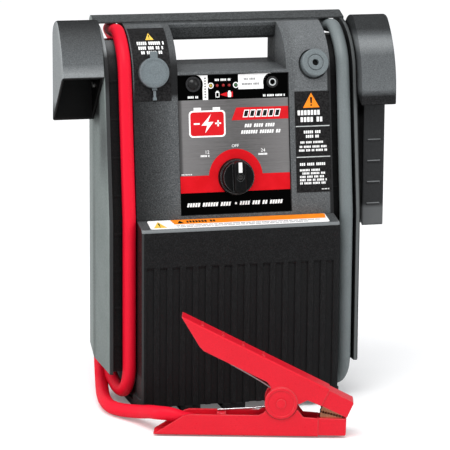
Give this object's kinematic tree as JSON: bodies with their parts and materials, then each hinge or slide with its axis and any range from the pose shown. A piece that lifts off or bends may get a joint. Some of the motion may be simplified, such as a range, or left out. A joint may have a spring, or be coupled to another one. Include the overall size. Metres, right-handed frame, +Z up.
{
  "type": "jump starter pack",
  "caption": "Portable 12/24 V vehicle jump starter: tall carry casing with hand opening, selector panel, side holsters, two heavy cables and spring clamps.",
  "frame": {"origin": "on the floor plane, under the middle of the casing's width and the middle of its depth, at the underside of the central foot pad", "axes": "+X to the right seen from the control panel, +Y from the panel towards the back, +Z up"},
  "size_m": [0.3991, 0.3315, 0.457],
  "materials": {
    "casing_plastic": "fine moulded texture, charcoal",
    "holster_plastic": "fine moulded texture, charcoal",
    "foot_rubber": "matt black",
    "zinc_steel": "zinc plated",
    "panel_plastic": "satin black",
    "panel_print": "printed film, silver with red and black bands",
    "knob_plastic": "satin black",
    "white_insert": "white",
    "switch_phenolic": "black moulded",
    "brass_metal": "machined",
    "circuit_board": "green laminate",
    "lens_yellow": "diffused lamp",
    "lens_red": "diffused lamp",
    "lens_green": "diffused lamp",
    "button_rubber": "moulded black",
    "label_black": "printed film",
    "label_white": "printed film",
    "outlet_shell": "black moulded",
    "cap_rubber": "grey moulded",
    "horn_plastic": "dark grey",
    "battery_case": "moulded case",
    "terminal_lead": "lead alloy",
    "foam": "closed-cell foam",
    "tray_plastic": "black moulded",
    "fuse_body": "moulded",
    "red_cable_jacket": "smooth flexible jacket, red",
    "black_cable_jacket": "smooth flexible jacket, dark grey",
    "red_clamp_grip": "satin red insulation",
    "black_clamp_grip": "satin black insulation",
    "pin_steel": "plated",
    "spring_steel": "bright wire",
    "jaw_copper": "copper plate, toothed",
    "lug_sleeve": "heat-shrink sleeve"
  },
  "bodies": {
    "root": {"battery_clamp_plate": "tray_plastic", "battery_foam": "foam", "battery_front": "battery_case", "battery_link": "brass_metal", "battery_rear": "battery_case", "battery_terminals": "terminal_lead", "battery_tray": "tray_plastic", "black_cable": "black_cable_jacket", "button_bezel": "panel_plastic", "buzzer_driver": "switch_phenolic", "buzzer_horn": "horn_plastic", "buzzer_label": "label_black", "cable_grommets": "cap_rubber", "cap_strap": "cap_rubber", "casing_screws": "zinc_steel", "charging_jack": "switch_phenolic", "foot_pads": "foot_rubber", "front_shell": "casing_plastic", "holster_left": "holster_plastic", "holster_right": "holster_plastic", "holster_screws": "zinc_steel", "indicator_board": "circuit_board", "jack_nut": "zinc_steel", "led_green": "lens_green", "led_red": "lens_red", "led_yellow": "lens_yellow", "ledge_label": "label_white", "main_fuse": "fuse_body", "outlet_barrel": "outlet_shell", "outlet_contact": "brass_metal", "outlet_insulator": "outlet_shell", "panel_overlay": "panel_print", "panel_plate": "panel_plastic", "rear_shell": "casing_plastic", "red_cable": "red_cable_jacket", "selector_switch_body": "switch_phenolic", "socket_label": "label_black", "status_switch": "switch_phenolic", "switch_nuts": "zinc_steel", "switch_studs": "brass_metal"},
    "selector": {"selector_knob": "knob_plastic", "knob_pointer": "white_insert", "knob_screw": "zinc_steel", "selector_shaft": "brass_metal"},
    "status_button": {"status_button": "button_rubber"},
    "outlet_cap": {"outlet_cap": "cap_rubber"},
    "red_clamp": {"red_clamp_lower_lever": "red_clamp_grip", "red_clamp_pivot_pin": "pin_steel", "red_clamp_spring": "spring_steel", "red_clamp_lower_jaw": "jaw_copper", "red_clamp_cable_lug": "lug_sleeve"},
    "red_clamp_upper": {"red_clamp_upper_lever": "red_clamp_grip", "red_clamp_upper_jaw": "jaw_copper"},
    "black_clamp": {"black_clamp_lower_lever": "black_clamp_grip", "black_clamp_pivot_pin": "pin_steel", "black_clamp_spring": "spring_steel", "black_clamp_lower_jaw": "jaw_copper", "black_clamp_cable_lug": "lug_sleeve"},
    "black_clamp_upper": {"black_clamp_upper_lever": "black_clamp_grip", "black_clamp_upper_jaw": "jaw_copper"}
  },
  "joints": [
    {"name": "selector_turn", "type": "hinge", "parent": "root", "child": "selector", "pos_m": [0.0015, -0.05166, 0.274], "axis": [0, -0.9912, 0.1323], "range_deg": [-45, 45]},
    {"name": "status_press", "type": "slide", "parent": "root", "child": "status_button", "axis": [0, 0.9912, -0.1323], "range_m": [0, 0.0015], "stiffness_N_per_m": 600},
    {"name": "cap_hinge", "type": "hinge", "parent": "root", "child": "outlet_cap", "pos_m": [-0.0945, -0.04034, 0.37829], "axis": [1, 0, 0], "range_deg": [0, 110]},
    {"name": "red_clamp_lift", "type": "slide", "parent": "root", "child": "red_clamp", "axis": [0, 0, 1], "range_m": [0, 0.08], "deforming": ["red_cable"]},
    {"name": "red_clamp_squeeze", "type": "hinge", "parent": "red_clamp", "child": "red_clamp_upper", "pos_m": [0.01705, -0.1929, 0.04055], "axis": [-0.284, -0.9588, 0], "range_deg": [0, 22], "stiffness_Nm_per_rad": 6, "springref_deg": -4, "deforming": ["red_clamp_spring"]},
    {"name": "black_clamp_draw", "type": "slide", "parent": "root", "child": "black_clamp", "axis": [0, 0, -1], "range_m": [0, 0.1], "deforming": ["black_cable"]},
    {"name": "black_clamp_squeeze", "type": "hinge", "parent": "black_clamp", "child": "black_clamp_upper", "pos_m": [0.176, 0.005, 0.3503], "axis": [-1, 0, 0], "range_deg": [0, 22], "stiffness_Nm_per_rad": 6, "springref_deg": -4, "deforming": ["black_clamp_spring"]}
  ]
}
